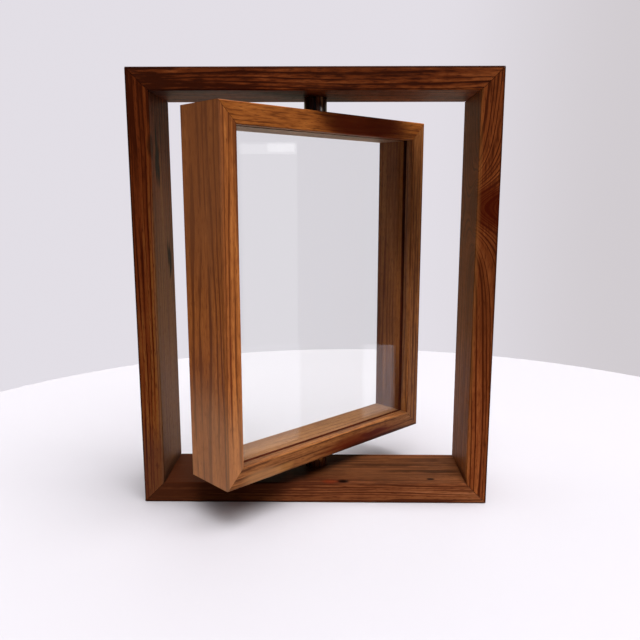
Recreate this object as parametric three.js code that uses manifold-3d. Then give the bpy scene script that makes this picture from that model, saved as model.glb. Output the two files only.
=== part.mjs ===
import * as THREE from 'three';
import { mergeVertices } from 'three/addons/utils/BufferGeometryUtils.js';
import Module from 'manifold-3d';

// A picture stand of two hardwood frames. The inner frame turns on two dowels inside the
// outer one, and a pair of clear panes in it holds a picture that seems to float.
// Millimetres, +Z up. The stand rests on Z = 0, its front looks along -Y, and the dowels
// lie on the Z axis. That axis is set back in the outer frame, so that the inner frame is
// flush with the outer one's back when it is turned straight.

// Outer frame: four boards on edge, mitred at the corners
const OUTER_WIDTH = 246;
const OUTER_HEIGHT = 300;
const OUTER_DEPTH = 56;
const OUTER_BOARD = 15;

// Inner frame: four rebated bars, mitred at the corners, and the air left around it
const SIDE_GAP = 10.5;
const UPPER_GAP = 11.5;
const LOWER_GAP = 14;
const INNER_DEPTH = 41;
const INNER_FACE = 13.5;
const SHOW_ANGLE_DEG = 44.5;

// Rebate of the inner bars: the front lip, how far it covers the glass, and the space that
// is left behind the retaining strips
const LIP_DEPTH = 6.4;
const LIP_COVER = 6;
const REAR_RECESS = 6;

// Glass, in two equal panes
const PANE_THICKNESS = 1.5;

// Softened edges of the wood
const OUTER_ARRIS = 1;
const INNER_ARRIS = 0.9;
const STRIP_ARRIS = 0.6;
const ARRIS_STEPS = 3;

// Pivot dowels: they go right through the inner bars, and stop short of the outer faces of
// the outer boards by the cover
const DOWEL_DIAMETER = 16;
const DOWEL_CHAMFER = 0.8;
const DOWEL_COVER = 6;
const DOWEL_SIDES = 48;

// Tongues hidden in the mitres: thickness, wood left at the inside corner, wood left on the
// outside, and setback from the front and back of the joint
const OUTER_TONGUE = 4;
const OUTER_TONGUE_HEEL = 4;
const OUTER_TONGUE_COVER = 5;
const OUTER_TONGUE_SETBACK = 8;
const INNER_TONGUE = 2;
const INNER_TONGUE_HEEL = 1.6;
const INNER_TONGUE_COVER = 1.2;
const INNER_TONGUE_SETBACK = 3;

// Diamond points that keep the retaining strips in the rebate: wood left beyond the driven
// tip, and how far the free tip stays short of the strip's inside face
const POINT_WIDTH = 8;
const POINT_THICKNESS = 0.5;
const POINT_COVER = 2.7;
const POINT_SHY = 1.2;
const POINT_INSET = 45;

// Clearances: between fitted pieces, and across a glued mitre
const FIT = 0.3;
const MITRE_LINE = 0.25;

// Sizes that follow
const INNER_WIDTH = OUTER_WIDTH - 2 * (OUTER_BOARD + SIDE_GAP);
const INNER_HEIGHT = OUTER_HEIGHT - 2 * OUTER_BOARD - UPPER_GAP - LOWER_GAP;
const INNER_BOTTOM = OUTER_BOARD + LOWER_GAP;
const INNER_FRONT = -INNER_DEPTH / 2;
const AXIS_SETBACK = (OUTER_DEPTH - INNER_DEPTH) / 2;
const REBATE_WALL = INNER_FACE - LIP_COVER;
const FRONT_PANE_Y = INNER_FRONT + LIP_DEPTH + FIT + PANE_THICKNESS / 2;
const REAR_PANE_Y = FRONT_PANE_Y + PANE_THICKNESS + FIT;
const STRIP_FRONT = REAR_PANE_Y + PANE_THICKNESS / 2 + FIT;
const STRIP_REAR = INNER_DEPTH / 2 - REAR_RECESS;
const POINT_DRIVEN = REBATE_WALL - POINT_COVER;
const POINT_FREE = LIP_COVER - POINT_SHY;

const SIDES = [
  { name: 'bottom', bar: 'rail', turn: 0, x: 0, z: -1 },
  { name: 'left', bar: 'stile', turn: Math.PI / 2, x: -1, z: 0 },
  { name: 'top', bar: 'rail', turn: Math.PI, x: 0, z: 1 },
  { name: 'right', bar: 'stile', turn: -Math.PI / 2, x: 1, z: 0 },
];

const CORNERS = [
  { name: 'bottom_left', x: -1, z: -1, sides: ['bottom', 'left'] },
  { name: 'top_left', x: -1, z: 1, sides: ['left', 'top'] },
  { name: 'top_right', x: 1, z: 1, sides: ['top', 'right'] },
  { name: 'bottom_right', x: 1, z: -1, sides: ['right', 'bottom'] },
];

const outerWood = new THREE.MeshStandardMaterial({ color: 0x4a2a1b, roughness: 0.45, metalness: 0 });
const innerWood = new THREE.MeshStandardMaterial({ color: 0x7d4a26, roughness: 0.45, metalness: 0 });
const stripWood = new THREE.MeshStandardMaterial({ color: 0x6b4331, roughness: 0.5, metalness: 0 });
const dowelWood = new THREE.MeshStandardMaterial({ color: 0x3a1d10, roughness: 0.35, metalness: 0 });
const tongueWood = new THREE.MeshStandardMaterial({ color: 0xc9a877, roughness: 0.7, metalness: 0 });
const pointSteel = new THREE.MeshStandardMaterial({ color: 0x8d8d8a, roughness: 0.4, metalness: 1 });
const clearGlass = new THREE.MeshStandardMaterial({
  color: 0xeef4f2, roughness: 0.05, metalness: 0, transparent: true, opacity: 0.25,
});

const WELD = 1e-4;
const wasm = await Module();
wasm.setup();

function toSolid(geometry) {
  const bare = geometry.clone();
  bare.deleteAttribute('normal');
  bare.deleteAttribute('uv');
  const welded = mergeVertices(bare, WELD);
  const triangles = [];
  for (let i = 0; i < welded.index.count; i += 3) {
    const corners = [0, 1, 2].map((k) => welded.index.getX(i + k));
    if (new Set(corners).size === 3) {
      triangles.push(...corners);
    }
  }
  return new wasm.Manifold(new wasm.Mesh({
    numProp: 3,
    vertProperties: new Float32Array(welded.attributes.position.array),
    triVerts: new Uint32Array(triangles),
  }));
}

function toGeometry(solid) {
  const { vertProperties, triVerts } = solid.getMesh();
  const geometry = new THREE.BufferGeometry();
  geometry.setAttribute('position', new THREE.BufferAttribute(vertProperties, 3));
  geometry.setIndex(new THREE.BufferAttribute(triVerts, 1));
  geometry.computeVertexNormals();
  return geometry;
}

// Cuts the seat of a fitted piece into its host, from the piece's shape grown by the fit
function cutSeat(host, piece, grownShape) {
  const toHost = host.matrixWorld.clone().invert().multiply(piece.matrixWorld);
  const tool = grownShape.clone().applyMatrix4(toHost);
  host.geometry = toGeometry(toSolid(host.geometry).subtract(toSolid(tool)));
}

function addMesh(parent, name, geometry, material) {
  const mesh = new THREE.Mesh(geometry, material);
  mesh.name = name;
  parent.add(mesh);
  return mesh;
}

// An outline of straight runs. Each corner is given as x, y and the distance from it at
// which the edge starts to round over, which is 0 for a sharp corner.
function softOutline(corners) {
  const outline = new THREE.Shape();
  const towards = (here, [x, y], distance) => (
    new THREE.Vector2(x, y).sub(here).setLength(distance).add(here)
  );
  corners.forEach(([x, y, arris], i) => {
    const here = new THREE.Vector2(x, y);
    const before = towards(here, corners.at(i - 1), arris);
    const after = towards(here, corners[(i + 1) % corners.length], arris);
    if (i === 0) {
      outline.moveTo(before.x, before.y);
    } else {
      outline.lineTo(before.x, before.y);
    }
    if (arris > 0) {
      outline.quadraticCurveTo(x, y, after.x, after.y);
    }
  });
  outline.closePath();
  return outline;
}

// A bar along X with both ends mitred. Its section is drawn in depth (Y) and in distance
// inward from the frame's outside edge (Z), and it loses that distance at each end.
function mitredBar(section, length) {
  const bar = new THREE.ExtrudeGeometry(section, {
    depth: 1, bevelEnabled: false, curveSegments: ARRIS_STEPS,
  });
  const place = bar.attributes.position;
  for (let i = 0; i < place.count; i += 1) {
    const depth = place.getX(i);
    const inward = place.getY(i);
    const end = place.getZ(i) - 0.5;
    place.setXYZ(i, end * (length - 2 * inward - Math.SQRT2 * MITRE_LINE), depth, inward);
  }
  bar.computeVertexNormals();
  return bar;
}

// Four groups around a frame. In each of them X runs along the side, Y is the depth and Z
// points inward from the frame's outside edge.
function addSides(frame, width, height) {
  return Object.fromEntries(SIDES.map(({ name, turn, x, z }) => {
    const side = new THREE.Group();
    side.rotation.y = turn;
    side.position.set(x * width / 2, 0, z * height / 2);
    frame.add(side);
    return [name, side];
  }));
}

function sideLength(name, width, height) {
  return name === 'left' || name === 'right' ? height : width;
}

function addBars(sides, prefix, section, width, height, material) {
  return Object.fromEntries(SIDES.map(({ name, bar }) => {
    const shape = mitredBar(section, sideLength(name, width, height));
    return [name, addMesh(sides[name], `${prefix}_${name}_${bar}`, shape, material)];
  }));
}

// Flat tongues set square across the mitres, near the inside corner where the wood is deep.
// Each is returned with the two bars that it joins and the shape of its seat in them.
function addTongues(frame, bars, prefix, size) {
  const { width, height, wall, thickness, heel, cover, front, rear } = size;
  const outerEdge = wall * Math.SQRT2 - heel - thickness;
  const across = 2 * (outerEdge - cover);
  const inset = (outerEdge + thickness / 2) / Math.SQRT2;
  const tongueShape = (clearance) => new THREE.BoxGeometry(
    thickness + 2 * clearance,
    rear - front + 2 * clearance,
    across + 2 * clearance,
  );
  return CORNERS.map(({ name, x, z, sides }) => {
    const piece = addMesh(frame, `${prefix}_tongue_${name}`, tongueShape(0), tongueWood);
    piece.position.set(x * (width / 2 - inset), (front + rear) / 2, z * (height / 2 - inset));
    piece.rotation.y = -x * z * Math.PI / 4;
    return { piece, hosts: sides.map((side) => bars[side]), seat: tongueShape(FIT) };
  });
}

// Turned dowel along Z with chamfered ends
function dowelShape(length, clearance) {
  const radius = DOWEL_DIAMETER / 2 + clearance;
  const half = length / 2 + clearance;
  const profile = [
    [0, -half],
    [radius - DOWEL_CHAMFER, -half],
    [radius, -half + DOWEL_CHAMFER],
    [radius, half - DOWEL_CHAMFER],
    [radius - DOWEL_CHAMFER, half],
    [0, half],
  ].map(([x, y]) => new THREE.Vector2(x, y));
  return new THREE.LatheGeometry(profile, DOWEL_SIDES).rotateX(Math.PI / 2);
}

// Diamond of thin sheet in the X-Z plane. Its widest line, at Z = 0, lies on the face of the
// rebate wall that it is driven into.
function pointShape(clearance) {
  const halfWidth = POINT_WIDTH / 2 + clearance;
  const thickness = POINT_THICKNESS + 2 * clearance;
  const diamond = new THREE.Shape([
    new THREE.Vector2(-halfWidth, 0),
    new THREE.Vector2(0, -POINT_DRIVEN - clearance),
    new THREE.Vector2(halfWidth, 0),
    new THREE.Vector2(0, POINT_FREE + clearance),
  ]);
  return new THREE.ExtrudeGeometry(diamond, { depth: thickness, bevelEnabled: false })
    .translate(0, 0, -thickness / 2)
    .rotateX(Math.PI / 2);
}

const stand = new THREE.Group();

const outerFrame = new THREE.Group();
outerFrame.position.set(0, -AXIS_SETBACK, OUTER_HEIGHT / 2);
stand.add(outerFrame);

const outerSection = softOutline([
  [-OUTER_DEPTH / 2, 0, OUTER_ARRIS],
  [OUTER_DEPTH / 2, 0, OUTER_ARRIS],
  [OUTER_DEPTH / 2, OUTER_BOARD, OUTER_ARRIS],
  [-OUTER_DEPTH / 2, OUTER_BOARD, OUTER_ARRIS],
]);
const outerSides = addSides(outerFrame, OUTER_WIDTH, OUTER_HEIGHT);
const outerBars = addBars(outerSides, 'outer', outerSection, OUTER_WIDTH, OUTER_HEIGHT, outerWood);
const outerTongues = addTongues(outerFrame, outerBars, 'outer', {
  width: OUTER_WIDTH,
  height: OUTER_HEIGHT,
  wall: OUTER_BOARD,
  thickness: OUTER_TONGUE,
  heel: OUTER_TONGUE_HEEL,
  cover: OUTER_TONGUE_COVER,
  front: -OUTER_DEPTH / 2 + OUTER_TONGUE_SETBACK,
  rear: OUTER_DEPTH / 2 - OUTER_TONGUE_SETBACK,
});

const innerFrame = new THREE.Group();
innerFrame.position.z = INNER_BOTTOM + INNER_HEIGHT / 2;
innerFrame.rotation.z = THREE.MathUtils.degToRad(SHOW_ANGLE_DEG);
stand.add(innerFrame);

const innerSection = softOutline([
  [INNER_FRONT, 0, INNER_ARRIS],
  [-INNER_FRONT, 0, INNER_ARRIS],
  [-INNER_FRONT, REBATE_WALL, INNER_ARRIS],
  [INNER_FRONT + LIP_DEPTH, REBATE_WALL, 0],
  [INNER_FRONT + LIP_DEPTH, INNER_FACE, 0],
  [INNER_FRONT, INNER_FACE, INNER_ARRIS],
]);
const innerSides = addSides(innerFrame, INNER_WIDTH, INNER_HEIGHT);
const innerBars = addBars(innerSides, 'inner', innerSection, INNER_WIDTH, INNER_HEIGHT, innerWood);
const innerTongues = addTongues(innerFrame, innerBars, 'inner', {
  width: INNER_WIDTH,
  height: INNER_HEIGHT,
  wall: REBATE_WALL,
  thickness: INNER_TONGUE,
  heel: INNER_TONGUE_HEEL,
  cover: INNER_TONGUE_COVER,
  front: INNER_FRONT + LIP_DEPTH + INNER_TONGUE_SETBACK,
  rear: STRIP_REAR - INNER_TONGUE_SETBACK,
});

const paneWidth = INNER_WIDTH - 2 * (REBATE_WALL + FIT);
const paneHeight = INNER_HEIGHT - 2 * (REBATE_WALL + FIT);
for (const [name, y] of [['front_glass', FRONT_PANE_Y], ['rear_glass', REAR_PANE_Y]]) {
  const shape = new THREE.BoxGeometry(paneWidth, PANE_THICKNESS, paneHeight);
  addMesh(innerFrame, name, shape, clearGlass).position.y = y;
}

// Retaining strips lie in the rebate behind the glass, flush with the inside of the lip
const stripSection = softOutline([
  [STRIP_FRONT, REBATE_WALL + FIT, 0],
  [STRIP_REAR, REBATE_WALL + FIT, 0],
  [STRIP_REAR, INNER_FACE, STRIP_ARRIS],
  [STRIP_FRONT, INNER_FACE, 0],
]);
for (const { name } of SIDES) {
  const shape = mitredBar(stripSection, sideLength(name, INNER_WIDTH, INNER_HEIGHT));
  addMesh(innerSides[name], `retaining_strip_${name}`, shape, stripWood);
}

// Two points a side are driven into the rebate wall, flat against the back of the strip
const points = SIDES.flatMap(({ name }) => {
  const halfSpan = sideLength(name, INNER_WIDTH, INNER_HEIGHT) / 2 - POINT_INSET;
  return [-halfSpan, halfSpan].map((along, i) => {
    const piece = addMesh(innerSides[name], `glass_point_${name}_${i + 1}`, pointShape(0), pointSteel);
    piece.position.set(along, STRIP_REAR + FIT + POINT_THICKNESS / 2, REBATE_WALL);
    return { piece, hosts: [innerBars[name]], seat: pointShape(FIT) };
  });
});

// Pivot dowels are glued into the inner bars and turn in blind holes of the outer boards
const DOWEL_SPANS = {
  bottom: [DOWEL_COVER + FIT, INNER_BOTTOM + REBATE_WALL],
  top: [INNER_BOTTOM + INNER_HEIGHT - REBATE_WALL, OUTER_HEIGHT - DOWEL_COVER - FIT],
};
const dowels = Object.entries(DOWEL_SPANS).map(([name, [low, high]]) => {
  const piece = addMesh(innerFrame, `pivot_dowel_${name}`, dowelShape(high - low, 0), dowelWood);
  piece.position.z = (low + high) / 2 - innerFrame.position.z;
  return { piece, hosts: [innerBars[name], outerBars[name]], seat: dowelShape(high - low, FIT) };
});

// With every piece in its place, the seats of the fitted ones are cut
stand.updateMatrixWorld(true);
for (const { piece, hosts, seat } of [...outerTongues, ...innerTongues, ...points, ...dowels]) {
  hosts.forEach((host) => cutSeat(host, piece, seat));
}

export default stand;
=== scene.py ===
"""Rotating floating frame: a dark hardwood frame that stands on edge, and inside it a smaller frame of
the same wood, holding two clear panes, that turns on wooden dowels at its top and bottom."""

import math

import bmesh
import bpy
from mathutils import Euler, Matrix, Vector


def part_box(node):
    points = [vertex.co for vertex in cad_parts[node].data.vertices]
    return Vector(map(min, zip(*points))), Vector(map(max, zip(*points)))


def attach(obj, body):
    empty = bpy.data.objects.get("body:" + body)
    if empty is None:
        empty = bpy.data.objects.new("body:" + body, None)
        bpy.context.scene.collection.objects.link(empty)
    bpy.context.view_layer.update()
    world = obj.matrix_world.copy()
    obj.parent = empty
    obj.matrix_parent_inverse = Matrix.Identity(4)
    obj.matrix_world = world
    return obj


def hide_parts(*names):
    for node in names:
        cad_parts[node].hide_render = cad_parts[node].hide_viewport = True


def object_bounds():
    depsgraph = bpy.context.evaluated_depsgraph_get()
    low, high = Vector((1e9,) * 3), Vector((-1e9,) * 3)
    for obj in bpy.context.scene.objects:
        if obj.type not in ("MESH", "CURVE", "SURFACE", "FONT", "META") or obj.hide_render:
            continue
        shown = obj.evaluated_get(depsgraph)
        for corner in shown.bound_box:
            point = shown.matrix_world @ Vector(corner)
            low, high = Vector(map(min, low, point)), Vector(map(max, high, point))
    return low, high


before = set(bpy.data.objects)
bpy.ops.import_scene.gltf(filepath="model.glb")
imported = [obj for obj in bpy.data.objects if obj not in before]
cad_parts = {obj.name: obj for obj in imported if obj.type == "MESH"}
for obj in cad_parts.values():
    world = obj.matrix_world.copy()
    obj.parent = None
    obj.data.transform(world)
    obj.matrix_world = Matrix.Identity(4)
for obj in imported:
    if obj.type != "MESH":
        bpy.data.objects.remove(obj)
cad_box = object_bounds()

# Camera
# It stands in front of the part, a little above its middle, and looks slightly down. Lens and place
# are those at which the corners of both frames fall where the photograph has them.
LENS_MM = 37.87
SENSOR_MM = 36.0
EYE = Vector((0.0097, -0.4903, 0.2164))
LOOK_DOWN = math.radians(10.27)
LOOK_LEFT = math.radians(0.76)

eye = bpy.data.objects.new("eye", bpy.data.cameras.new("eye"))
eye.data.sensor_width = SENSOR_MM
eye.data.lens = LENS_MM
eye.location = EYE
eye.rotation_euler = Euler((math.pi / 2 - LOOK_DOWN, 0.0, LOOK_LEFT))
bpy.context.scene.collection.objects.link(eye)
bpy.context.scene.camera = eye
bpy.context.scene.view_settings.view_transform = "Standard"

# Floor and light
# A round pale floor in a pale room, whose front half is dim where the gloss and the panes mirror it. One
# softbox lights the part from the front, another the floor alone, and a broad ceiling light both. The
# panes mirror a low window over a dim strip of wall on the right, and the dowels a small side window.
FLOOR_CENTRE = Vector((0.0437, -0.0131, 0.0))
FLOOR_RADIUS = 0.4797
FLOOR_SIDES = 192
FLOOR_WHITE = (0.655, 0.630, 0.673, 1.0)
FLOOR_BOUNCE = (0.50, 0.47, 0.45, 1.0)
FLOOR_CLOUDS = 3.0
FLOOR_ROUGHNESS = (0.55, 0.70)
FLOOR_GLOSS = 0.2
ROOM_PALE = (0.765, 0.735, 0.790, 1.0)
ROOM_RIGHT = (0.640, 0.605, 0.635, 1.0)
ROOM_MIRRORED = (0.05, 0.047, 0.05, 1.0)
ROOM_SHEEN = (0.50, 0.45, 0.34, 1.0)
ROOM_AMBIENT = (0.05, 0.048, 0.05, 1.0)
RIGHT_WALL = (0.12, 0.40)
BACK_WALL = (0.25, 0.85)


def add(tree, kind, inputs=(), **settings):
    """A shader node with its settings made, and each input given a value or joined to a socket."""
    made = tree.nodes.new("ShaderNode" + kind)
    for name, value in settings.items():
        setattr(made, name, value)
    for name, value in dict(inputs).items():
        if isinstance(value, bpy.types.NodeSocket):
            tree.links.new(value, made.inputs[name])
        else:
            made.inputs[name].default_value = value
    return made


def maths(tree, operation, *values):
    """The result of one sum on values or sockets."""
    return add(tree, "Math", dict(enumerate(values)), operation=operation).outputs[0]


def blended(tree, share, first, second):
    """Two colours mixed by a share."""
    return add(tree, "Mix", {0: share, 6: first, 7: second}, data_type="RGBA").outputs[2]


def eased(tree, value, low, high):
    """0 up to low, 1 from high on, with a smooth rise between."""
    inputs = {"Value": value, "From Min": low, "From Max": high}
    return add(tree, "MapRange", inputs, interpolation_type="SMOOTHSTEP").outputs[0]


def new_material(name):
    """A material with an empty node tree."""
    material = bpy.data.materials.new(name)
    material.use_nodes = True
    material.node_tree.nodes.clear()
    return material, material.node_tree


def show(piece_name, bm, material):
    """A new object at the origin with the mesh, which keeps the piece's place, and one material."""
    mesh = bpy.data.meshes.new(piece_name)
    bm.to_mesh(mesh)
    bm.free()
    mesh.materials.append(material)
    piece = bpy.data.objects.new(piece_name, mesh)
    bpy.context.scene.collection.objects.link(piece)
    return piece


def floor_paint():
    """Matt pale paint with the faintest unevenness, which throws little light back at the part."""
    material, tree = new_material("floor_paint")
    ray = add(tree, "LightPath").outputs
    seen = maths(tree, "MAXIMUM", ray["Is Camera Ray"], ray["Is Transmission Ray"])
    seen = maths(tree, "MAXIMUM", seen, ray["Is Glossy Ray"])
    colour = blended(tree, seen, FLOOR_BOUNCE, FLOOR_WHITE)
    place = add(tree, "TexCoord").outputs["Object"]
    cloud = add(tree, "TexNoise", {"Vector": place, "Scale": FLOOR_CLOUDS, "Detail": 2.0}).outputs[0]
    least, most = FLOOR_ROUGHNESS
    rough = add(tree, "MapRange", {"Value": cloud, "To Min": least, "To Max": most}).outputs[0]
    paint = add(tree, "BsdfPrincipled", {
        "Base Color": colour,
        "Roughness": rough,
        "Specular IOR Level": FLOOR_GLOSS,
    })
    add(tree, "OutputMaterial", {"Surface": paint.outputs[0]})
    return material


def room():
    """Pale to the eye and through glass, dim in front where gloss or glass mirrors it, even as light."""
    world = bpy.data.worlds.new("room")
    world.use_nodes = True
    tree = world.node_tree
    tree.nodes.clear()
    ray = add(tree, "LightPath").outputs
    aside, away, _ = add(tree, "SeparateXYZ", {0: add(tree, "TexCoord").outputs["Generated"]}).outputs
    pale = blended(tree, eased(tree, aside, *RIGHT_WALL), ROOM_PALE, ROOM_RIGHT)
    mirrored = blended(tree, eased(tree, away, *BACK_WALL), ROOM_MIRRORED, ROOM_SHEEN)
    straight = maths(tree, "LESS_THAN", ray["Glossy Depth"], 0.5)
    through = maths(tree, "MULTIPLY", ray["Is Transmission Ray"], straight)
    seen = maths(tree, "MAXIMUM", ray["Is Camera Ray"], through)
    reflected = maths(tree, "MAXIMUM", ray["Is Glossy Ray"], ray["Is Transmission Ray"])
    colour = blended(tree, reflected, ROOM_AMBIENT, mirrored)
    colour = blended(tree, seen, colour, pale)
    add(tree, "OutputWorld", {"Surface": add(tree, "Background", {"Color": colour}).outputs[0]})
    return world


def soft_light(name, towards, spread, strength):
    """A broad light from one direction, as from a large softbox far away."""
    light = bpy.data.objects.new(name, bpy.data.lights.new(name, "SUN"))
    light.data.angle = math.radians(spread)
    light.data.energy = strength
    light.rotation_euler = Vector(towards).to_track_quat("Z", "Y").to_euler()
    bpy.context.scene.collection.objects.link(light)
    return light


def link_floor(light, floor, state):
    """Lets a light reach the floor alone (INCLUDE) or everything but the floor (EXCLUDE)."""
    reach = bpy.data.collections.new(f"{light.name}_reach")
    reach.objects.link(floor)
    reach.collection_objects[0].light_linking.link_state = state
    light.light_linking.receiver_collection = reach


def window_lamp(name, place, aim, size, watts):
    """A rectangular area lamp at a place, turned to face a point."""
    lamp = bpy.data.objects.new(name, bpy.data.lights.new(name, "AREA"))
    lamp.data.shape = "RECTANGLE"
    lamp.data.size, lamp.data.size_y = size
    lamp.data.energy = watts
    lamp.location = place
    lamp.rotation_euler = (Vector(aim) - Vector(place)).to_track_quat("-Z", "Y").to_euler()
    bpy.context.scene.collection.objects.link(lamp)


bm = bmesh.new()
bmesh.ops.create_circle(bm, cap_ends=True, radius=FLOOR_RADIUS, segments=FLOOR_SIDES)
bmesh.ops.translate(bm, verts=bm.verts, vec=FLOOR_CENTRE)
floor = show("floor", bm, floor_paint())
bpy.context.scene.world = room()
front_light = soft_light("front_softbox", towards=(0.15, -0.58, 1.0), spread=30, strength=3.0)
link_floor(front_light, floor, "EXCLUDE")
floor_light = soft_light("floor_softbox", towards=(0.29, -0.34, 1.0), spread=52, strength=2.95)
link_floor(floor_light, floor, "INCLUDE")
soft_light("ceiling", towards=(0.05, 0.22, 1.0), spread=80, strength=2.0)
window_lamp(
    "window", place=(1.25, -0.182, 0.336), aim=(0.0, -0.06, 0.25), size=(0.142, 0.024), watts=0.013,
)
window_lamp(
    "window_pane", place=(1.25, -0.150, 0.341), aim=(0.0, -0.06, 0.25), size=(0.068, 0.022), watts=0.0065,
)
window_lamp(
    "pale_wall", place=(1.26, -0.182, 0.030), aim=(0.0, -0.182, 0.030), size=(0.142, 0.650), watts=0.20,
)
window_lamp(
    "side_window", place=(1.20, -0.700, 0.456), aim=(0.0, 0.0, 0.28), size=(0.120, 0.060), watts=0.8,
)

# Outer frame
# Two rails and two stiles of dark reddish hardwood, 15 mm boards on edge, mitred and glued at the
# corners with the arrises eased by hand. The rails carry a blind hole each for the pivot dowels.
OUTER_ARRIS = 0.0010
ARRIS_STEPS = 4
MITRE_LINE = 0.00025
FIT = 0.0003
WELD = 1e-6
FLAT = math.radians(0.1)
SHARP = math.radians(40)
MILLIMETRE = (0.001, 0.001, 0.001)
IN_MILLIMETRES = 1000
SIDE_ANGLES = {"bottom": 0.0, "left": math.pi / 2, "top": math.pi, "right": -math.pi / 2}
BAR_KINDS = {"bottom": "rail", "left": "stile", "top": "rail", "right": "stile"}
SIDE_CORNERS = {
    "bottom": ("bottom_left", "bottom_right"),
    "left": ("bottom_left", "top_left"),
    "top": ("top_left", "top_right"),
    "right": ("top_right", "bottom_right"),
}
DARK_SHARES = (0.42, 0.36, 0.38)
LIGHT_SHARES = (1.5, 1.75, 1.95)
SATIN = 0.13
GRAIN_RELIEF = {"Strength": 0.35, "Distance": 0.00015}
# How softly the painted shade in the groove fades out, in millimetres
GROOVE_SHADE_FADE = (0.2, 0.1)

# Marks in the wood: how long they are along, back and inward, in millimetres
DRIFT_MARKS = (110, 30, 30)
FIBRE_MARKS = (60, 0.7, 0.7)
MOTTLE_MARKS = (12, 1.6, 1.6)
PATCH_MARKS = (70, 22, 14)
PORE_MARKS = (6, 0.5, 0.5)
SWAY_MARKS = (22, 40, 40)

# Changes from ring to ring: how long they are along, in millimetres, and across, in rings
RING_SHIFTS = (260, 2.3, 1)
RING_FADES = (75, 0.37, 1)
RING_BANDS = (170, 1.5, 1)

# Seeds that keep one kind of mark from lying on another
BAND_SEED = 7.0
MOTTLE_SEED = 11.0
PATCH_SEED = 3.0
SWAY_SEED = 5.0

# Where in a ring, a noise or a tone each mark begins and is whole
LATE_WOOD = (0.52, 0.88)
YEAR_END = (1.0, 0.93)
LINE_NOISE = (0.25, 0.62)
PORE_NOISE = (0.55, 0.68)
DARK_TO_MID = (0.05, 0.52)
MID_TO_LIGHT = (0.48, 0.98)
EDGE_GRIME_AND_SHADE_REACH = (2.0, 0.5)
FLECK_RIM = (1.0, 0.45)

# How much each mark counts in the tone, the roughness and the relief
SHIFT_SHARE = 2.6
FIBRE_TONE = 0.6
PATCH_TONE = 0.6
PORE_TONE = 0.75
LEAN_LENGTH = 100.0
ACROSS_LENGTH = 10.0
EDGE_GRIME_AND_SHADE_STAIN = "0c0402"
EDGE_GRIME_AND_SHADE_SHARE = 0.6
FIBRE_ROUGHNESS = 0.16
PORE_ROUGHNESS = 0.15
PORE_RELIEF = -0.8
LINE_RELIEF = -0.3


def stain(code):
    """A scene-linear colour from a six-digit screen colour."""
    parts = [int(code[i:i + 2], 16) / 255 for i in (0, 2, 4)]
    return (*[p / 12.92 if p <= 0.04045 else ((p + 0.055) / 1.055) ** 2.4 for p in parts], 1.0)


def board_tones(code, contrast=1.0):
    """The dark, middle and light tones of one board, about its middle colour."""
    middle = stain(code)
    dark = [part * share ** contrast for part, share in zip(middle, DARK_SHARES)]
    light = [part * share ** contrast for part, share in zip(middle, LIGHT_SHARES)]
    return {"Dark": (*dark, 1.0), "Mid": middle, "Light": (*light, 1.0)}


def marks(tree, place, size, seed, detail=1.0):
    """Noise whose marks have a size along, into and across the wood, in the units of place."""
    shares = [1 / s for s in size]
    squeezed = add(tree, "VectorMath", {0: place, 1: shares}, operation="MULTIPLY").outputs[0]
    inputs = {"Vector": squeezed, "W": seed, "Scale": 1.0, "Detail": detail}
    return add(tree, "TexNoise", inputs, noise_dimensions="4D").outputs[0]


def swing(tree, noise, amount):
    """Noise turned into a push to either side of nothing."""
    return maths(tree, "MULTIPLY", maths(tree, "SUBTRACT", noise, 0.5), amount)


def new_group(name, inputs, outputs):
    """An empty shader group with its sockets, and the sockets to build from and to."""
    group = bpy.data.node_groups.new(name, "ShaderNodeTree")
    for title, (kind, value) in inputs.items():
        socket = group.interface.new_socket(title, in_out="INPUT", socket_type="NodeSocket" + kind)
        socket.default_value = value
    for title, kind in outputs.items():
        group.interface.new_socket(title, in_out="OUTPUT", socket_type="NodeSocket" + kind)
    return group, group.nodes.new("NodeGroupInput").outputs, group.nodes.new("NodeGroupOutput").inputs


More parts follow.
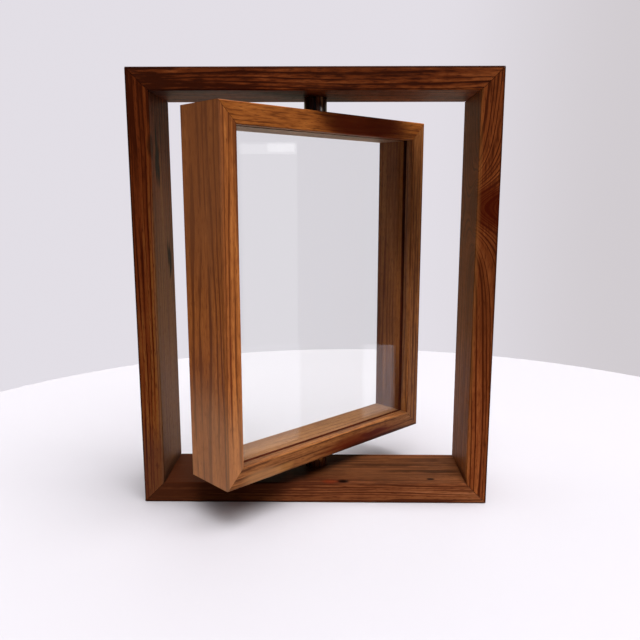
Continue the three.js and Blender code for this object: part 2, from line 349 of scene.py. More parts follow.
def rosewood_grain():
    """Growth rings about a pith line beside the bar, thrown aside by a knot, with fibres and pores.
    Lengths are millimetres along, back and inward on the bar."""
    group, given, out = new_group(
        "rosewood_grain",
        {
            "Place": ("Vector", (0, 0, 0)),
            "Seed": ("Float", 0.0),
            "Pith Back": ("Float", 0.0),
            "Pith Inward": ("Float", -120.0),
            "Ring Width": ("Float", 2.4),
            "Wander": ("Float", 4.0),
            "Lines": ("Float", 0.5),
            "Bands": ("Float", 1.6),
            "Mottle": ("Float", 0.6),
            "Lean": ("Float", 0.0),
            "Across": ("Float", 0.0),
            "Knot At": ("Float", 0.0),
            "Knot Reach": ("Float", 20.0),
            "Knot Throw": ("Float", 0.0),
            "Knot Depth": ("Float", 14.0),
            "Half Depth": ("Float", 1000.0),
            "Edge Grime And Shade": ("Float", 0.75),
            "Least Roughness": ("Float", 0.40),
            "Dark": ("Color", stain("2a1006")),
            "Mid": ("Color", stain("5a2a14")),
            "Light": ("Color", stain("7a4526")),
        },
        {"Color": "Color", "Roughness": "Float", "Height": "Float"},
    )
    place, seed = given["Place"], given["Seed"]
    along, back, inward = add(group, "SeparateXYZ", {0: place}).outputs

    reach = maths(group, "DIVIDE", maths(group, "SUBTRACT", along, given["Knot At"]), given["Knot Reach"])
    spread = maths(group, "MULTIPLY_ADD", reach, reach, 1.0)
    depth = maths(group, "DIVIDE", maths(group, "ADD", back, given["Half Depth"]), given["Knot Depth"])
    spread = maths(group, "MULTIPLY", spread, maths(group, "MULTIPLY_ADD", depth, depth, 1.0))
    throw = maths(group, "DIVIDE", given["Knot Throw"], spread)
    across = maths(group, "SUBTRACT", inward, throw)
    offsets = [maths(group, "SUBTRACT", back, given["Pith Back"])]
    offsets.append(maths(group, "SUBTRACT", across, given["Pith Inward"]))
    squares = [maths(group, "MULTIPLY", offset, offset) for offset in offsets]
    radius = maths(group, "SQRT", maths(group, "ADD", *squares))
    drift = maths(group, "SUBTRACT", marks(group, place, DRIFT_MARKS, seed), 0.5)
    radius = maths(group, "MULTIPLY_ADD", drift, given["Wander"], radius)

    ring = maths(group, "DIVIDE", radius, given["Ring Width"])
    ring_place = add(group, "CombineXYZ", {0: along, 1: ring}).outputs[0]
    uneven = swing(group, marks(group, ring_place, RING_SHIFTS, seed), SHIFT_SHARE)
    ring = maths(group, "ADD", ring, uneven)
    year = maths(group, "FRACT", ring)
    late = maths(group, "MULTIPLY", eased(group, year, *LATE_WOOD), eased(group, year, *YEAR_END))
    year_place = add(group, "CombineXYZ", {0: along, 1: maths(group, "FLOOR", ring)}).outputs[0]
    strength = eased(group, marks(group, year_place, RING_FADES, seed), *LINE_NOISE)
    line = maths(group, "MULTIPLY", late, strength)
    bands = marks(group, ring_place, RING_BANDS, maths(group, "ADD", seed, BAND_SEED), detail=2.0)
    fibres = marks(group, place, FIBRE_MARKS, seed, detail=2.0)
    mottle = marks(group, place, MOTTLE_MARKS, maths(group, "ADD", seed, MOTTLE_SEED), detail=2.0)
    patches = marks(group, place, PATCH_MARKS, maths(group, "ADD", seed, PATCH_SEED))
    pores = eased(group, marks(group, place, PORE_MARKS, seed), *PORE_NOISE)

    tone = maths(group, "MULTIPLY_ADD", maths(group, "SUBTRACT", bands, 0.5), given["Bands"], 0.5)
    tone = maths(group, "SUBTRACT", tone, maths(group, "MULTIPLY", line, given["Lines"]))
    tone = maths(group, "ADD", tone, swing(group, fibres, FIBRE_TONE))
    tone = maths(group, "ADD", tone, swing(group, mottle, given["Mottle"]))
    tone = maths(group, "ADD", tone, swing(group, patches, PATCH_TONE))
    tone = maths(group, "MULTIPLY_ADD", maths(group, "DIVIDE", along, LEAN_LENGTH), given["Lean"], tone)
    lengths = maths(group, "DIVIDE", inward, ACROSS_LENGTH)
    tone = maths(group, "MULTIPLY_ADD", lengths, given["Across"], tone)
    colour = blended(group, eased(group, tone, *DARK_TO_MID), given["Dark"], given["Mid"])
    colour = blended(group, eased(group, tone, *MID_TO_LIGHT), colour, given["Light"])
    colour = blended(group, maths(group, "MULTIPLY", pores, PORE_TONE), colour, given["Dark"])
    # Darkening about the outer arrises: grime, and painted shade along the lower edges
    shy = maths(group, "SUBTRACT", given["Half Depth"], maths(group, "ABSOLUTE", back))
    corner = add(group, "CombineXYZ", {0: shy, 1: inward}).outputs[0]
    from_arris = add(group, "VectorMath", {0: corner}, operation="LENGTH").outputs["Value"]
    edge_grime_and_shade = maths(group, "MULTIPLY", eased(group, from_arris, *EDGE_GRIME_AND_SHADE_REACH), given["Edge Grime And Shade"])
    grime_and_shade_colour = blended(group, EDGE_GRIME_AND_SHADE_SHARE, given["Dark"], stain(EDGE_GRIME_AND_SHADE_STAIN))
    group.links.new(blended(group, edge_grime_and_shade, colour, grime_and_shade_colour), out["Color"])
    rough = maths(group, "MULTIPLY_ADD", fibres, FIBRE_ROUGHNESS, given["Least Roughness"])
    group.links.new(maths(group, "MULTIPLY_ADD", pores, PORE_ROUGHNESS, rough), out["Roughness"])
    relief = maths(group, "MULTIPLY_ADD", pores, PORE_RELIEF, fibres)
    group.links.new(maths(group, "MULTIPLY_ADD", line, LINE_RELIEF, relief), out["Height"])
    return group


def fleck_and_painted_light():
    """A soft spot or streak about one place on a bar, for marks in the wood and for painted light and
    shade, which may wander as it runs along.
    """
    group, given, out = new_group(
        "fleck_and_painted_light",
        {
            "Place": ("Vector", (0, 0, 0)),
            "Centre": ("Vector", (0, 0, 0)),
            "Reach": ("Vector", (3, 2, 2)),
            "Wander": ("Float", 0.5),
        },
        {"Mask": "Float"},
    )
    bend = marks(group, given["Place"], SWAY_MARKS, SWAY_SEED, detail=2.0)
    sway = swing(group, bend, given["Wander"])
    shift = add(group, "CombineXYZ", {1: sway, 2: sway}).outputs[0]
    moved = add(group, "VectorMath", {0: given["Place"], 1: shift}).outputs[0]
    offset = add(group, "VectorMath", {0: moved, 1: given["Centre"]}, operation="SUBTRACT").outputs[0]
    share = add(group, "VectorMath", {0: offset, 1: given["Reach"]}, operation="DIVIDE").outputs[0]
    distance = add(group, "VectorMath", {0: share}, operation="LENGTH").outputs["Value"]
    group.links.new(eased(group, distance, *FLECK_RIM), out["Mask"])
    return group


ROSEWOOD = rosewood_grain()
FLECK_AND_PAINTED_LIGHT = fleck_and_painted_light()


def rosewood(name, seat, grain, flecks_and_painted_light=(), groove_shade=None, gloss=SATIN):
    """Oiled rosewood on one bar, its grain laid along the bar's own axes. Each fleck, a mark in the wood,
    painted light or painted shade, has a centre, a reach along, back and inward, a wander, a colour and a
    strength. What lies in the groove, from one place to another going back and from a third on going
    inward, is painted dark red as shade, so that the groove by the edges of the panes is dark."""
    material, tree = new_material(name)
    own_place = add(tree, "Mapping", {
        "Vector": add(tree, "TexCoord").outputs["Object"],
        "Location": seat.to_translation(),
        "Rotation": seat.to_euler("XYZ"),
        "Scale": MILLIMETRE,
    }, vector_type="TEXTURE").outputs[0]
    wood = add(tree, "Group", {"Place": own_place} | grain, node_tree=ROSEWOOD).outputs
    colour = wood["Color"]
    for centre, reach, wander, tint, strength in flecks_and_painted_light:
        inputs = {"Place": own_place, "Centre": centre, "Reach": reach, "Wander": wander}
        mask = add(tree, "Group", inputs, node_tree=FLECK_AND_PAINTED_LIGHT).outputs["Mask"]
        colour = blended(tree, maths(tree, "MULTIPLY", mask, strength), colour, stain(tint))
    if groove_shade:
        front, rear, wall = groove_shade
        far, near = GROOVE_SHADE_FADE
        _, back, inward = add(tree, "SeparateXYZ", {0: own_place}).outputs
        behind = eased(tree, back, front - far, front - near)
        before = eased(tree, back, rear + far, rear + near)
        inside = eased(tree, inward, wall - far, wall - near)
        in_groove_shade = maths(tree, "MULTIPLY", maths(tree, "MULTIPLY", behind, before), inside)
        colour = blended(tree, in_groove_shade, colour, stain(REBATE_PAINTED_SHADE))
    relief = add(tree, "Bump", GRAIN_RELIEF | {"Height": wood["Height"]})
    oiled = add(tree, "BsdfPrincipled", {
        "Base Color": colour,
        "Roughness": wood["Roughness"],
        "Normal": relief.outputs[0],
        "Specular IOR Level": gloss,
    })
    add(tree, "OutputMaterial", {"Surface": oiled.outputs[0]})
    return material


def side_seat(low, high, side, turn=0.0):
    """Where a bar's own axes, along, back and inward, lie on one side of a frame of that box."""
    middle = (low + high) / 2
    edges = {
        "bottom": Vector((middle.x, middle.y, low.z)),
        "left": Vector((low.x, middle.y, middle.z)),
        "top": Vector((middle.x, middle.y, high.z)),
        "right": Vector((high.x, middle.y, middle.z)),
    }
    upright = Matrix.Rotation(SIDE_ANGLES[side], 4, "Y")
    return Matrix.Rotation(turn, 4, "Z") @ Matrix.Translation(edges[side]) @ upright


def side_length(low, high, side):
    """How long a bar on one side of a frame of that box is, from point to point of its mitres."""
    span = high - low
    return span.x if BAR_KINDS[side] == "rail" else span.z


def mitred_bar(section, soft_corners, arris, length, seat):
    """A bar drawn as a section, back and inward, run out along its side, with some edges eased and
    both ends cut to a mitre, laid in its seat."""
    bm = bmesh.new()
    half = length / 2
    start = bm.faces.new([bm.verts.new((-half, *corner)) for corner in section])
    run = bmesh.ops.extrude_face_region(bm, geom=[start])["geom"]
    bmesh.ops.translate(bm, verts=[v for v in run if isinstance(v, bmesh.types.BMVert)], vec=(length, 0, 0))
    soft_edges = []
    for edge in bm.edges:
        ends = [v.co for v in edge.verts]
        runs_along = abs(ends[0].x - ends[1].x) > half
        if runs_along and any((ends[0].yz - Vector(c)).length < arris / 10 for c in soft_corners):
            soft_edges.append(edge)
    bmesh.ops.bevel(
        bm, geom=soft_edges, offset=arris, affect="EDGES", segments=ARRIS_STEPS, profile=0.5, material=-1,
    )
    for end in (-1, 1):
        reach = end * (half - MITRE_LINE / math.sqrt(2))
        geom = bm.verts[:] + bm.edges[:] + bm.faces[:]
        cut = bmesh.ops.bisect_plane(
            bm, geom=geom, plane_co=(reach, 0, 0), plane_no=(end, 0, 1), clear_outer=True,
        )
        rim = [edge for edge in cut["geom_cut"] if isinstance(edge, bmesh.types.BMEdge)]
        bmesh.ops.contextual_create(bm, geom=rim)
    bm.transform(seat)
    bmesh.ops.recalc_face_normals(bm, faces=bm.faces)
    return bm


def merge_flats(bm):
    """Joins the points that lie together, and the faces that lie in one plane."""
    bmesh.ops.remove_doubles(bm, verts=bm.verts, dist=WELD)
    bmesh.ops.dissolve_limit(bm, angle_limit=FLAT, verts=bm.verts, edges=bm.edges)
    bm.normal_update()


def cut_seats(piece, nodes):
    """Cuts a seat into a piece for each fitted node, in the node's own shape grown by the fit."""
    tools = []
    for node in nodes:
        bm = bmesh.new()
        bm.from_mesh(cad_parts[node].data)
        merge_flats(bm)
        grown = [vert.co + vert.normal * vert.calc_shell_factor() * FIT for vert in bm.verts]
        for vert, place in zip(bm.verts, grown):
            vert.co = place
        tools.append(show(f"{node}_seat", bm, piece.data.materials[0]))
        cut = piece.modifiers.new(f"{node}_seat", "BOOLEAN")
        cut.operation = "DIFFERENCE"
        cut.solver = "EXACT"
        cut.object = tools[-1]
    uncut = piece.data
    now = bpy.context.evaluated_depsgraph_get()
    piece.data = bpy.data.meshes.new_from_object(piece.evaluated_get(now))
    piece.data.name = piece.name
    piece.modifiers.clear()
    bm = bmesh.new()
    bm.from_mesh(piece.data)
    merge_flats(bm)
    bm.to_mesh(piece.data)
    bm.free()
    for mesh in [uncut] + [tool.data for tool in tools]:
        bpy.data.meshes.remove(mesh)


def smooth_arrises(piece):
    """Rounds the shading of eased edges and leaves the flats flat."""
    piece.data.shade_smooth()
    piece.data.set_sharp_from_angle(angle=SHARP)
    piece.modifiers.new("flats", "WEIGHTED_NORMAL").keep_sharp = True


outer_low, outer_high = cad_box[0].copy(), cad_box[1].copy()
outer_low.y, outer_high.y = (corner.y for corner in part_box("outer_left_stile"))
outer_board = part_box("outer_bottom_rail")[1].z
outer_half = (outer_high.y - outer_low.y) / 2
outer_section = [(-outer_half, 0), (outer_half, 0), (outer_half, outer_board), (-outer_half, outer_board)]

OUTER_GRAIN = {
    # on the bottom rail, Lean makes the left end darker: partly darker wood, partly painted shade
    "bottom": board_tones("7f4728", 1.2) | {
        "Seed": 1.0, "Pith Back": 60.0, "Pith Inward": -90.0, "Ring Width": 1.8, "Wander": 3.0,
        "Lines": 1.1, "Bands": 0.9, "Mottle": 0.8, "Lean": 0.26, "Across": -0.2,
    },
    "left": board_tones("672d11", 1.2) | {
        "Light": stain("7d481f"),
        "Seed": 2.0, "Pith Back": 60.0, "Pith Inward": -120.0, "Ring Width": 2.2, "Wander": 3.0,
        "Lines": 0.8, "Bands": 1.3, "Mottle": 0.6, "Lean": 0.26, "Across": 0.2,
    },
    "top": board_tones("682f12", 1.4) | {
        "Seed": 3.0, "Pith Back": -60.0, "Pith Inward": 110.0, "Ring Width": 3.0, "Wander": 6.0,
        "Lines": 0.8, "Bands": 1.9, "Mottle": 1.8, "Lean": -0.2,
    },
    "right": board_tones("7d3e1c", 1.3) | {
        "Seed": 4.0, "Pith Back": 60.0, "Pith Inward": -140.0, "Ring Width": 2.6, "Wander": 2.5,
        "Lines": 1.2, "Bands": 1.2, "Mottle": 0.8,
        "Knot At": 60.0, "Knot Reach": 17.0, "Knot Throw": 40.0,
    },
}
OUTER_FLECKS_AND_PAINTED_LIGHT = {
    "bottom": [
        # darker left end, partly darker wood and partly painted shade, and a painted shadow of the inner
        # frame on the top
        ((-92, -10, 8), (84, 120, 40), 4.0, "34170a", 0.55),
        ((-36, -16, 16), (54, 60, 3.0), 10.0, "1a0903", 0.6),
        # browner top with dark streaks
        ((70, 0, 15.5), (110, 40, 3.0), 2.0, "563820", 0.42),
        ((80, -6, 15.5), (42, 4.6, 3.0), 9.0, "241007", 0.75),
        ((58, 6, 15.5), (46, 4.2, 3.0), 9.0, "28130a", 0.65),
        ((86, 16, 15.5), (36, 5.0, 3.0), 9.0, "28130a", 0.6),
        ((44, -22.5, 15.5), (70, 2.8, 3.0), 5.0, "2a1008", 0.5),
        # two pin knots, the first with a red streak beside it
        ((20, -24.6, 15), (6.0, 3.4, 3.0), 0.3, "120401", 1.0),
        ((11, -25, 15), (8.0, 3.8, 3.0), 0.5, "6e2008", 0.5),
        ((84, -20, 15), (3.8, 2.2, 2.4), 0.3, "170704", 1.0),
    ],
    "left": [
        # greyer inside, and a duller lower end; painted shade in the corner at the foot of the inside
        ((70, 4, 16), (228, 80, 5.0), 3.0, "685440", 0.42),
        ((142, -28, 6), (60, 30, 30), 3.0, "402420", 0.5),
        ((137, -6, 15.5), (12, 60, 3.0), 2.0, "2a120a", 0.65),
        # two clusters of black streaks on the inside
        ((-100, -26, 15), (11, 5.0, 3.0), 3.0, "1a0d05", 0.6),
        ((-101, -12.6, 15), (21, 3.6, 3.0), 6.0, "170b04", 0.9),
        ((-86, -15.0, 15), (15, 4.2, 3.0), 7.0, "170b04", 0.95),
        ((-88, -8.6, 15), (19, 5.0, 3.0), 8.0, "170b04", 1.0),
        ((-27, 10.0, 15), (13, 3.6, 3.0), 6.0, "170b04", 0.9),
        ((-21, 15.0, 15), (19, 4.6, 3.0), 7.0, "170b04", 1.0),
    ],
    "top": [],
    "right": [
        # red heart of the knot and darker wood below it
        ((60, -28, 2), (20, 40, 24), 2.0, "420b02", 0.8),
        ((4, -28, 6), (52, 40, 30), 4.0, "401a06", 0.38),
        # paler inside, and painted shade in the corner at the foot of the inside
        ((0, 6, 16), (330, 80, 5.0), 3.0, "8a562b", 0.45),
        ((-136, -14, 15.5), (8, 40, 3.0), 1.0, "34120a", 0.6),
    ],
}
OUTER_GLOSS = {"bottom": 0.02, "left": 0.02, "top": 0.045, "right": 0.02}

for side in SIDE_ANGLES:
    seat = side_seat(outer_low, outer_high, side)
    length = side_length(outer_low, outer_high, side)
    bar = mitred_bar(outer_section, outer_section, OUTER_ARRIS, length, seat)
    grain = OUTER_GRAIN[side] | {"Half Depth": outer_half * IN_MILLIMETRES}
    gloss = OUTER_GLOSS[side]
    wood = rosewood(f"rosewood_outer_{side}", seat, grain, OUTER_FLECKS_AND_PAINTED_LIGHT[side], gloss=gloss)
    piece = show(f"outer_{side}_bar", bar, wood)
    fitted = [f"outer_tongue_{corner}" for corner in SIDE_CORNERS[side]]
    if BAR_KINDS[side] == "rail":
        fitted.append(f"pivot_dowel_{side}")
    cut_seats(piece, fitted)
    smooth_arrises(piece)
    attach(piece, "outer_frame")
    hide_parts(f"outer_{side}_{BAR_KINDS[side]}")

# Inner frame
# Two rails and two stiles of the same wood, a warmer and paler cut, mitred and glued like the outer
# frame. Each bar has a rebate behind a front lip, where the panes lie, and a dowel through each rail.
TURN = math.radians(44.5)
INNER_ARRIS = 0.0009
LIP_DEPTH = 0.0064
LIP_COVER = 0.006
# The dark red in the rebate and on the strips' faces towards the glass is painted shade
REBATE_PAINTED_SHADE = "4e1c0e"
# How dark the outer arrises of each inner bar are: grime, and on the bottom rail painted shade along its
# lower edge
INNER_EDGE_GRIME_AND_SHADE = {"bottom": 0.5, "left": 0.45, "top": 0.0, "right": 0.45}


def own_box(*nodes):
    """Lowest and highest corners of CAD nodes along the inner frame's own axes."""
    unturned = Matrix.Rotation(-TURN, 3, "Z")
    corners = [unturned @ v.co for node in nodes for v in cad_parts[node].data.vertices]
    return Vector(map(min, *corners)), Vector(map(max, *corners))


inner_low, inner_high = own_box("inner_bottom_rail", "inner_top_rail")
inner_low.x, inner_high.x = own_box("inner_left_stile")[0].x, own_box("inner_right_stile")[1].x
inner_front, inner_back = inner_low.y, inner_high.y
inner_face = own_box("inner_left_stile")[1].x - inner_low.x
rebate_wall = inner_face - LIP_COVER
inner_section = [
    (inner_front, 0),
    (inner_back, 0),
    (inner_back, rebate_wall),
    (inner_front + LIP_DEPTH, rebate_wall),
    (inner_front + LIP_DEPTH, inner_face),
    (inner_front, inner_face),
]
inner_soft = [inner_section[i] for i in (0, 1, 2, 5)]
inner_rebate = [place * IN_MILLIMETRES for place in (inner_front + LIP_DEPTH, inner_back, rebate_wall)]

INNER_GRAIN = {
    "bottom": board_tones("91582e", 1.1) | {
        "Seed": 11.0, "Pith Back": -80.0, "Pith Inward": -60.0, "Ring Width": 2.8, "Wander": 7.0,
        "Lines": 0.5, "Bands": 1.1, "Mottle": 1.2,
    },
    "left": board_tones("a55d2a", 0.9) | {
        "Seed": 12.0, "Pith Back": 60.0, "Pith Inward": 120.0, "Ring Width": 3.6, "Wander": 5.0,
        "Lines": 0.8, "Bands": 1.3, "Mottle": 1.1, "Lean": 0.08, "Across": 0.22,
    },
    "top": board_tones("a85e26", 1.1) | {
        "Seed": 13.0, "Pith Back": -80.0, "Pith Inward": -60.0, "Ring Width": 3.2, "Wander": 7.0,
        "Lines": 0.4, "Bands": 0.9, "Mottle": 1.3,
    },
    "right": board_tones("a06131") | {
        "Seed": 14.0, "Pith Back": 60.0, "Pith Inward": -120.0, "Ring Width": 2.6, "Wander": 4.0,
        "Lines": 0.8, "Bands": 1.2, "Mottle": 1.2,
    },
}
INNER_FLECKS_AND_PAINTED_LIGHT = {
    "bottom": [
        # dark red heart on the right half of the front
        ((30, -20, 3), (56, 10, 9), 8.0, "621e06", 0.75),
        ((42, -20, 6), (20, 10, 3.2), 6.0, "4e1003", 0.8),
        ((20, -20, 2.5), (22, 10, 3.4), 6.0, "5c1a06", 0.7),
        # a dark band along the lower arris, painted shade under the rail
        ((48, -20, 0.5), (64, 10, 3.2), 2.0, "260b03", 0.75),
        # paler left end
        ((-49, -20, 4), (11, 6, 4), 3.0, "b07a40", 0.35),
        ((-68, -20, 3), (22, 8, 7), 3.0, "c08a5c", 0.45),
    ],
    "left": [
        # a long streak on the outside, duller above and paler below, then streaks on the front
        ((0, -8, 0), (150, 3.0, 5), 9.0, "5c3220", 0.3),
        ((-90, 4, -3), (110, 60, 9), 3.0, "905837", 0.5),
        ((115, 4, 4), (75, 60, 40), 3.0, "aa8262", 0.35),
        ((46, -20, 4.9), (50, 4, 1.1), 1.5, "6a2c12", 0.7),
        ((-82, -20, 13.0), (75, 8, 2.6), 1.0, "5c2a14", 0.75),
    ],
    # dark red heart across the right of the front, partly painted shade from the outer top rail
    "top": [((-30, -20, 5), (54, 10, 18), 4.0, "78280a", 0.9)],
    "right": [
        ((0, -17, 14), (140, 5, 3), 1.0, "6a3a1c", 0.4),
        # darker upper end of the front, painted shade from the top rail
        ((90, -20, 5), (120, 12, 14), 3.0, "5f3416", 0.15),
    ],
}

for side in SIDE_ANGLES:
    seat = side_seat(inner_low, inner_high, side, TURN)
    length = side_length(inner_low, inner_high, side)
    bar = mitred_bar(inner_section, inner_soft, INNER_ARRIS, length, seat)
    edge_grime_and_shade = {"Half Depth": inner_back * IN_MILLIMETRES, "Edge Grime And Shade": INNER_EDGE_GRIME_AND_SHADE[side]}
    grain = INNER_GRAIN[side] | edge_grime_and_shade
    wood = rosewood(f"rosewood_inner_{side}", seat, grain, INNER_FLECKS_AND_PAINTED_LIGHT[side], inner_rebate)
    piece = show(f"inner_{side}_bar", bar, wood)
    fitted = [f"inner_tongue_{corner}" for corner in SIDE_CORNERS[side]]
    fitted += [f"glass_point_{side}_{i}" for i in (1, 2)]
    if BAR_KINDS[side] == "rail":
        fitted.append(f"pivot_dowel_{side}")
    cut_seats(piece, fitted)
    smooth_arrises(piece)
    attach(piece, "inner_frame")
    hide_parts(f"inner_{side}_{BAR_KINDS[side]}")

# Mitre tongues
# Flat slips of pale compressed beech, one glued into a slot across each mitre of both frames. Their
# grain runs across the joint, and they are left bare, because the bars cover them.
TONGUE_TONES = {"Dark": stain("a57d50"), "Mid": stain("c7a87a"), "Light": stain("dcc59b")}
TONGUE_GRAIN = {"Pith Back": 30.0, "Pith Inward": -50.0, "Ring Width": 1.2, "Lines": 0.3, "Mottle": 0.5}
TONGUE_SEEDS = {"outer": 56.0, "inner": 60.0}
TONGUE_ANGLES = {"bottom_left": 45, "top_left": -45, "top_right": 45, "bottom_right": -45}
TONGUE_GLOSS = 0.2

for owner, turn in {"outer": 0.0, "inner": TURN}.items():
    for i, (corner, angle) in enumerate(TONGUE_ANGLES.items()):
        node = f"{owner}_tongue_{corner}"
        middle = sum(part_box(node), Vector()) / 2
        across = Matrix.Rotation(math.radians(angle), 4, "Y")
        seat = Matrix.Translation(middle) @ Matrix.Rotation(turn, 4, "Z") @ across
        grain = TONGUE_TONES | TONGUE_GRAIN | {"Seed": TONGUE_SEEDS[owner] + i}
        wood = rosewood(f"beech_{node}", seat, grain, gloss=TONGUE_GLOSS)
        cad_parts[node].material_slots[0].material = wood

# Glass
# Two equal panes of clear picture glass, 1.5 mm thick, with ground edges and a thin coat against glare,
# so that they mirror about half as much as bare glass. They lie against the lip, one behind the other.
PANE_SEAM = 0.0002
COATED_INDEX = 1.25
GLASS_TINT = (0.97, 0.975, 0.97, 1.0)
GLASS_SHADE = (0.96, 0.965, 0.96, 1.0)


def clear_glass():
    """Clear glass that lets the lamps through to what lies behind it."""
    material, tree = new_material("clear_glass")
    glass = add(tree, "BsdfPrincipled", {
        "Base Color": GLASS_TINT,
        "Roughness": 0.0,
        "IOR": COATED_INDEX,
        "Transmission Weight": 1.0,
    })
    open_way = add(tree, "BsdfTransparent", {"Color": GLASS_SHADE})
    shadow = add(tree, "LightPath").outputs["Is Shadow Ray"]
    both = add(tree, "MixShader", {0: shadow, 1: glass.outputs[0], 2: open_way.outputs[0]})
    add(tree, "OutputMaterial", {"Surface": both.outputs[0]})
    return material


CLEAR_GLASS = clear_glass()
for name in ("front", "rear"):
    low, high = own_box(f"{name}_glass")
    bm = bmesh.new()
    bmesh.ops.create_cube(bm, size=1.0)
    bmesh.ops.scale(bm, verts=bm.verts, vec=high - low)
    bmesh.ops.bevel(
        bm, geom=bm.edges, offset=PANE_SEAM, affect="EDGES", segments=1, profile=0.5, material=-1,
    )
    bmesh.ops.translate(bm, verts=bm.verts, vec=(low + high) / 2)
    bm.transform(Matrix.Rotation(TURN, 4, "Z"))
    piece = show(f"{name}_pane", bm, CLEAR_GLASS)
    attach(piece, "inner_frame")
    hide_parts(f"{name}_glass")

# Retaining strips
# Four square strips of the same wood, mitred, lie in the rebate behind the glass, flush with the inside
# of the lip. They are loose, so that the picture can be changed.
STRIP_ARRIS = 0.0006
STRIP_TONES = {
    "bottom": board_tones("855a38"),
    "left": board_tones("96552a"),
    # the top strip is paler and greyer, partly painted sheen on its underside
    "top": board_tones("a87a5a"),
    "right": board_tones("8c5228") | {"Lean": 0.3},
}
STRIP_GLOSS = {"bottom": SATIN, "left": SATIN, "top": 0.3, "right": SATIN}
STRIP_GRAIN = {"Pith Back": -90.0, "Pith Inward": -70.0, "Ring Width": 2.8, "Lines": 0.3, "Bands": 0.8}
STRIP_SEEDS = {"bottom": 21.0, "left": 22.0, "top": 23.0, "right": 24.0}
strip_low, strip_high = own_box("retaining_strip_bottom")
strip_edge = strip_low.z - inner_low.z
strip_section = [
    (strip_low.y, strip_edge),
    (strip_high.y, strip_edge),
    (strip_high.y, inner_face),
    (strip_low.y, inner_face),
]
glass_face = [place * IN_MILLIMETRES for place in (strip_low.y, strip_low.y, strip_edge)]

for side in SIDE_ANGLES:
    seat = side_seat(inner_low, inner_high, side, TURN)
    length = side_length(inner_low, inner_high, side)
    strip = mitred_bar(strip_section, strip_section[2:3], STRIP_ARRIS, length, seat)
    grain = STRIP_TONES[side] | STRIP_GRAIN | {"Seed": STRIP_SEEDS[side]}
    wood = rosewood(f"rosewood_strip_{side}", seat, grain, groove_shade=glass_face, gloss=STRIP_GLOSS[side])
    piece = show(f"strip_{side}", strip, wood)
    smooth_arrises(piece)
    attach(piece, "inner_frame")
    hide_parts(f"retaining_strip_{side}")

# Glass points
# Thin stamped steel diamonds, two a side, driven flat along the back of the strips into the wall of the
# rebate. The rolled sheet has fine bright lines and has dulled in spots.
STEEL_DULL = "8f8f8c"
STEEL_BRIGHT = "bcbcb8"
STEEL_BLOOM = "6f6a63"
ROLL_MARKS = (14, 2.0, 0.15)
ROLL_SEED = 51.0
ROLL_NOISE = (0.3, 0.7)
ROLL_ROUGHNESS = 0.20
ROLL_RELIEF = {"Strength": 0.2, "Distance": 0.00005}
BLOOM_MARKS = (3, 3, 2.4)
BLOOM_SEED = 52.0
BLOOM_NOISE = (0.48, 0.70)
BLOOM_SHARE = 0.5
BLOOM_ROUGHNESS = 0.15
STEEL_ROUGHNESS = 0.22


def rolled_steel():
    """Sheet steel with the lines of rolling and a dull bloom."""
    material, tree = new_material("rolled_steel")
    own_place = add(tree, "Mapping", {
        "Vector": add(tree, "TexCoord").outputs["Object"],
        "Rotation": (0.0, 0.0, TURN),
        "Scale": MILLIMETRE,
    }, vector_type="TEXTURE").outputs[0]
    lines = marks(tree, own_place, ROLL_MARKS, ROLL_SEED, detail=2.0)
    bloom = eased(tree, marks(tree, own_place, BLOOM_MARKS, BLOOM_SEED, detail=2.0), *BLOOM_NOISE)
    colour = blended(tree, eased(tree, lines, *ROLL_NOISE), stain(STEEL_DULL), stain(STEEL_BRIGHT))
    colour = blended(tree, maths(tree, "MULTIPLY", bloom, BLOOM_SHARE), colour, stain(STEEL_BLOOM))
    rough = maths(tree, "MULTIPLY_ADD", bloom, BLOOM_ROUGHNESS, STEEL_ROUGHNESS)
    rough = maths(tree, "MULTIPLY_ADD", lines, ROLL_ROUGHNESS, rough)
    relief = add(tree, "Bump", ROLL_RELIEF | {"Height": lines})
    steel = add(tree, "BsdfPrincipled", {
        "Base Color": colour,
        "Metallic": 1.0,
        "Roughness": rough,
        "Normal": relief.outputs[0],
    })
    add(tree, "OutputMaterial", {"Surface": steel.outputs[0]})
    return material


ROLLED_STEEL = rolled_steel()
for side in SIDE_ANGLES:
    for i in (1, 2):
        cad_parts[f"glass_point_{side}_{i}"].material_slots[0].material = ROLLED_STEEL

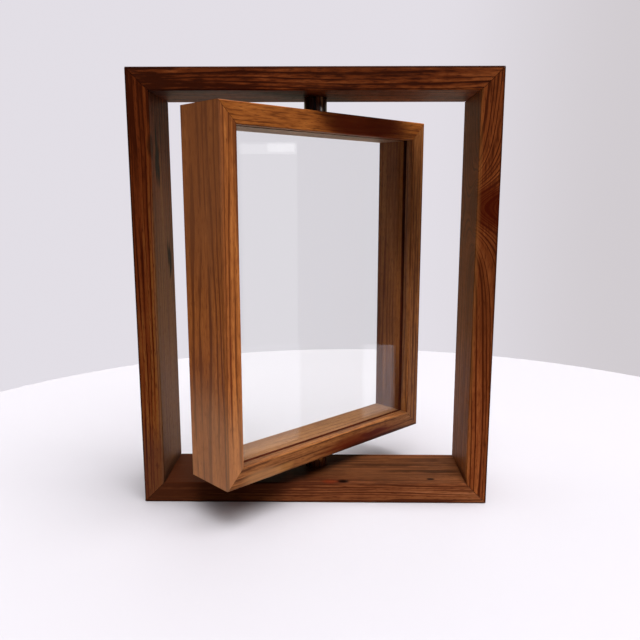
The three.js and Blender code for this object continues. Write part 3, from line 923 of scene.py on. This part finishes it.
# Pivot dowels
# Turned hardwood pegs, 16 mm thick, glued through the inner rails. They turn in the blind holes of the
# outer rails, and rubbing has left them dark and smooth.
DOWEL_CHAMFER = 0.0008
DOWEL_STEPS = 64
DOWEL_TONES = board_tones("4e2611")
DOWEL_GLOSS = 0.5
# Pale streaks and a brown band on the side of each dowel towards the side window: painted highlights and
# painted light, beside the lamp's own reflection
DOWEL_PAINTED_HIGHLIGHTS = {
    "bottom": [((6, -6.5, -3.9), (9, 3.2, 2.6), 0.3, "d08848", 0.9)],
    "top": [
        ((0, -6.3, -4.6), (40, 2.5, 1.1), 0.3, "d8a070", 0.9),
        ((0, -7.7, -1.9), (40, 3.0, 1.6), 0.3, "a0603a", 0.7),
    ],
}
DOWEL_GRAIN = {"Pith Back": 3.0, "Pith Inward": -9.0, "Least Roughness": 0.12}
DOWEL_SEEDS = {"bottom": 31.0, "top": 32.0}

for side in DOWEL_SEEDS:
    low, high = own_box(f"pivot_dowel_{side}")
    radius = (high.x - low.x) / 2
    bm = bmesh.new()
    profile = [
        (0, low.z),
        (radius - DOWEL_CHAMFER, low.z),
        (radius, low.z + DOWEL_CHAMFER),
        (radius, high.z - DOWEL_CHAMFER),
        (radius - DOWEL_CHAMFER, high.z),
        (0, high.z),
    ]
    points = [bm.verts.new((r, 0, z)) for r, z in profile]
    outline = [bm.edges.new(pair) for pair in zip(points, points[1:])]
    bmesh.ops.spin(
        bm, geom=points + outline, axis=(0, 0, 1), cent=(0, 0, 0), angle=2 * math.pi, steps=DOWEL_STEPS,
        use_merge=True,
    )
    bmesh.ops.remove_doubles(bm, verts=bm.verts, dist=WELD)
    bmesh.ops.recalc_face_normals(bm, faces=bm.faces)
    seat = Matrix.Translation((0, 0, (low.z + high.z) / 2)) @ Matrix.Rotation(-math.pi / 2, 4, "Y")
    grain = DOWEL_TONES | DOWEL_GRAIN | {"Seed": DOWEL_SEEDS[side]}
    wood = rosewood(f"rosewood_dowel_{side}", seat, grain, DOWEL_PAINTED_HIGHLIGHTS[side], gloss=DOWEL_GLOSS)
    piece = show(f"dowel_{side}", bm, wood)
    smooth_arrises(piece)
    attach(piece, "inner_frame")
    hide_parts(f"pivot_dowel_{side}")
